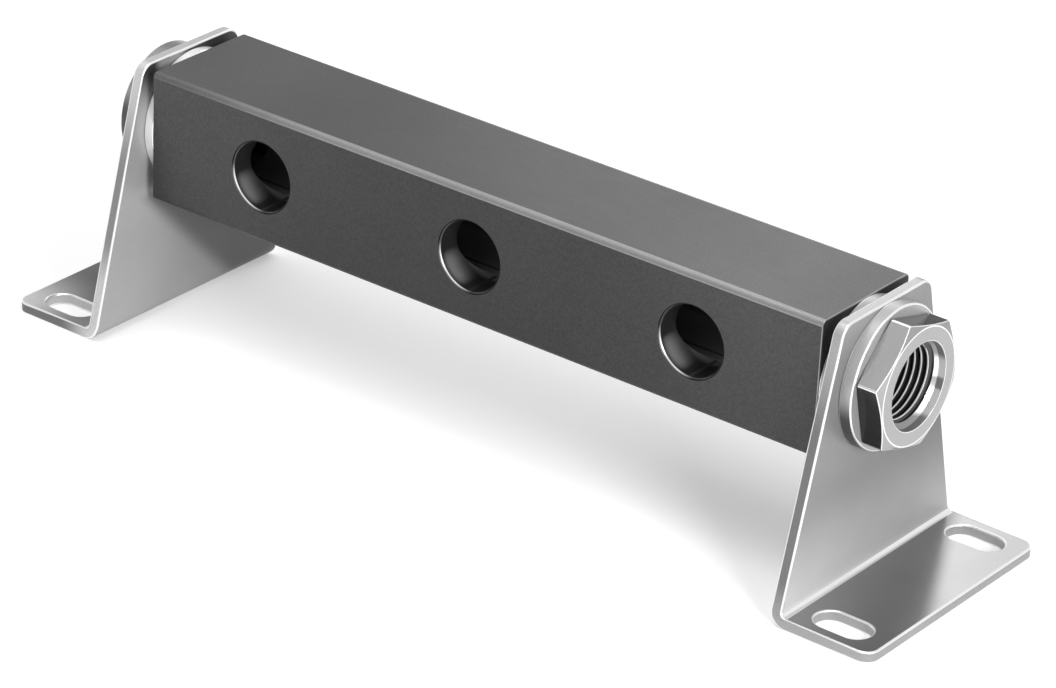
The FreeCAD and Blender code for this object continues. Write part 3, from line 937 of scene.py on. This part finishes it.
def add_floor():
    """A pale matt floor that glows a little where it is seen, to look white."""
    material, tree, shader = blank_material("pale_floor")
    place = add_node(tree, "ShaderNodeTexCoord").outputs["Object"]
    set_inputs(tree, shader, {
        "Base Color": spread(tree, noise(tree, place, scale=3.0), 0.79, 0.81),
        "Roughness": 0.9,
        "Specular IOR Level": 0.1,
        "Emission Color": WHITE,
        "Emission Strength": product(tree, seen_directly(tree), 0.3),
    })
    floor = staged_grid("floor", half_size=6, divisions=2, material=material)


def add_world(ambient):
    """A white studio: seen at full strength, and lighting matt surfaces at a lower one."""
    world = bpy.data.worlds.new("white_studio")
    bpy.context.scene.world = world
    world.use_nodes = True
    tree = world.node_tree
    strength = spread(tree, seen_directly(tree), ambient, 1.0, 0.0, 1.0)
    set_inputs(tree, tree.nodes["Background"], {"Color": WHITE, "Strength": strength})


def add_softbox(name, place, target, size, power):
    """A square lamp that shines towards a target."""
    lamp = bpy.data.lights.new(name, "AREA")
    lamp.shape = "SQUARE"
    lamp.size = size
    lamp.energy = power
    softbox = bpy.data.objects.new(name, lamp)
    softbox.location = place
    softbox.rotation_euler = (Vector(place) - Vector(target)).to_track_quat("Z", "Y").to_euler()
    bpy.context.scene.collection.objects.link(softbox)


def add_card(name, place, target, size, grey):
    """A grey studio card: only polished surfaces see it, where they would mirror the white."""
    material, tree, shader = blank_material(name)
    set_inputs(tree, shader, {
        "Base Color": BLACK,
        "Specular IOR Level": 0,
        "Emission Color": (grey, grey, grey, 1),
        "Emission Strength": 1,
    })
    card = staged_grid(name, half_size=size / 2, divisions=1, material=material)
    card.location = place
    card.rotation_euler = (Vector(target) - Vector(place)).to_track_quat("Z", "Y").to_euler()
    card.visible_camera = False
    card.visible_diffuse = False
    card.visible_shadow = False


def add_camera(place, target, roll, lens):
    camera = bpy.data.objects.new("camera", bpy.data.cameras.new("camera"))
    camera.data.sensor_width = 36
    camera.data.lens = lens
    aim = (Vector(target) - Vector(place)).to_track_quat("-Z", "Y").to_matrix().to_4x4()
    camera.matrix_world = Matrix.Translation(place) @ aim @ Matrix.Rotation(roll, 4, "Z")
    bpy.context.scene.collection.objects.link(camera)
    bpy.context.scene.camera = camera


# Each finish: grey, metallic, roughness, grain, bump, speckle, tone, which paints light and shade
FINISHES = {
    "anodised_rail": (0.066, 0.7, 0.42, sheet_grain, 0.2, 0.14, rail_painted_sheen),
    "bore_wall": (0.24, 0.5, 0.4, turning_marks, 0.02, 0.02, bore_painted_glow),
    "bore_lead_in": (0.68, 1.0, 0.3, turning_marks, 0.02, 0.02, lead_in_painted_highlight),
    # The rail's edge finish is lighter than the rail: a painted highlight along its edges
    "painted_highlight_edge": (0.3, 0.9, 0.38, sheet_grain, 0.1, 0.05, highlight_fading_left),
    # The rail's end finish is near black: painted shade in the gap before each bracket
    "painted_shade_end": (0.02, 0.3, 0.5, sheet_grain, 0.1, 0.02, None),
    "foot_zinc": (0.3, 0.9, 0.3, sheet_grain, 0.05, 0.02, foot_painted_sheen),
    # The two uprights take lit and shaded copies of one zinc: painted light and shade
    "right_upright_zinc": (0.265, 0.3, 0.4, sheet_grain, 0.05, 0.02, right_upright_painted_light),
    "left_upright_zinc": (0.33, 0.15, 0.4, sheet_grain, 0.05, 0.02, left_upright_painted_shading),
    "zinc_edge": (0.8, 0.9, 0.3, sheet_grain, 0.05, 0.02, None),
    "sheared_zinc": (0.2, 0.8, 0.4, sheet_grain, 0.1, 0.05, sheared_side_painted_sheen),
    "nickel_plate": (0.5, 1.0, 0.22, turning_marks, 0.0, 0.02, hexagon_painted_shade),
    "nickel_edge": (0.9, 1.0, 0.25, turning_marks, 0.0, 0.02, None),
    # The thread's grooves are painted near black as painted shade, and its crests light as
    # painted highlights
    "thread_groove": (0.08, 0.9, 0.3, turning_marks, 0.0, 0.02, None),
    "thread_crest": (0.75, 0.3, 0.3, turning_marks, 0.0, 0.02, None),
    "port_mouth": (0.85, 0.5, 0.3, turning_marks, 0.0, 0.02, mouth_painted_reflection),
    "plug_nickel": (0.35, 1.0, 0.26, turning_marks, 0.0, 0.02, plug_painted_light),
    "turned_steel": (0.4, 0.4, 0.3, turning_marks, 0.0, 0.02, painted_shade_below),
    # A lighter copy of the turned steel for the left-hand inner ring: painted light
    "painted_lit_turned_steel": (0.9, 0.4, 0.3, turning_marks, 0.0, 0.02, None),
    "turned_edge": (0.88, 1.0, 0.25, turning_marks, 0.0, 0.02, None),
}
finishes = {name: metal_finish(name, *values) for name, values in FINISHES.items()}

add_piece(
    "anodised_square_rail", rail_mesh(), "manifold_rail",
    ["anodised_rail", "bore_wall", "bore_lead_in", "painted_highlight_edge", "painted_shade_end"],
)
# Each upright has its own copy of the zinc, lit and shaded apart: painted light and shade
bracket = bracket_mesh()
add_piece(
    "folded_bracket_left", turned_round(bracket), "bracket_left",
    ["foot_zinc", "zinc_edge", "sheared_zinc", "left_upright_zinc"],
)
add_piece(
    "folded_bracket_right", bracket, "bracket_right",
    ["foot_zinc", "zinc_edge", "sheared_zinc", "right_upright_zinc"],
)
# The left-hand inner ring takes a lighter copy of the turned steel: painted light
inner_ring = ring_mesh(RAIL_END, BRACKET_FACE, INNER_RING_RADIUS)
add_piece(
    "turned_inner_ring_left", turned_round(inner_ring), "inner_ring_left",
    ["painted_lit_turned_steel", "turned_edge"],
)
add_piece(
    "turned_inner_ring_right", inner_ring, "inner_ring_right",
    ["turned_steel", "turned_edge"],
)
add_piece(
    "turned_outer_ring", ring_mesh(BRACKET_BACK, HEX_SEAT, OUTER_RING_RADIUS),
    "outer_ring_right", ["turned_steel", "turned_edge"],
)
add_piece(
    "tapped_fitting", fitting_mesh(), "end_fitting_right",
    ["nickel_plate", "nickel_edge", "thread_groove", "thread_crest", "port_mouth"],
)
add_piece(
    "blanking_plug", turned_round(plug_mesh()), "end_fitting_left",
    ["plug_nickel", "nickel_edge"],
)

add_floor()
add_world(ambient=0.45)
# Each softbox and card: its place, the place along the rail's axis that it faces, its size,
# and its power or its grey
for name, place, along, size, power in (
    ("top_softbox", (-0.2, -0.3, 1.5), 0, 1.0, 11),
    ("side_softbox", (1.1, -0.5, 0.5), 0, 0.4, 14),
    ("back_softbox", (-0.15, 0.3, 0.25), 0.1, 0.16, 0.12),
):
    add_softbox(name, place, (along, 0, AXIS_HEIGHT), size, power)
for name, place, along, size, grey in (
    ("front_left_low_card", (-0.36, -0.80, 0.14), 0.1, 0.45, 0.4),
    ("front_left_high_card", (-0.38, -0.42, 0.72), 0.1, 0.75, 0.65),
    ("back_left_low_card", (-0.34, 0.72, 0.08), 0.12, 0.36, 0.1),
    ("front_right_card", (0.60, -0.38, 0.67), 0.11, 0.5, 0.3),
    ("back_left_card", (-0.78, 0.62, 0.42), -0.1, 0.5, 0.55),
):
    add_card(name, place, (along, 0, AXIS_HEIGHT), size, grey)
add_camera(
    place=(0.60999, -0.80572, 0.53261), target=(0.00579, 0, 0.02518),
    roll=math.radians(2.76), lens=157.34,
)

bpy.context.scene.view_settings.view_transform = "Standard"
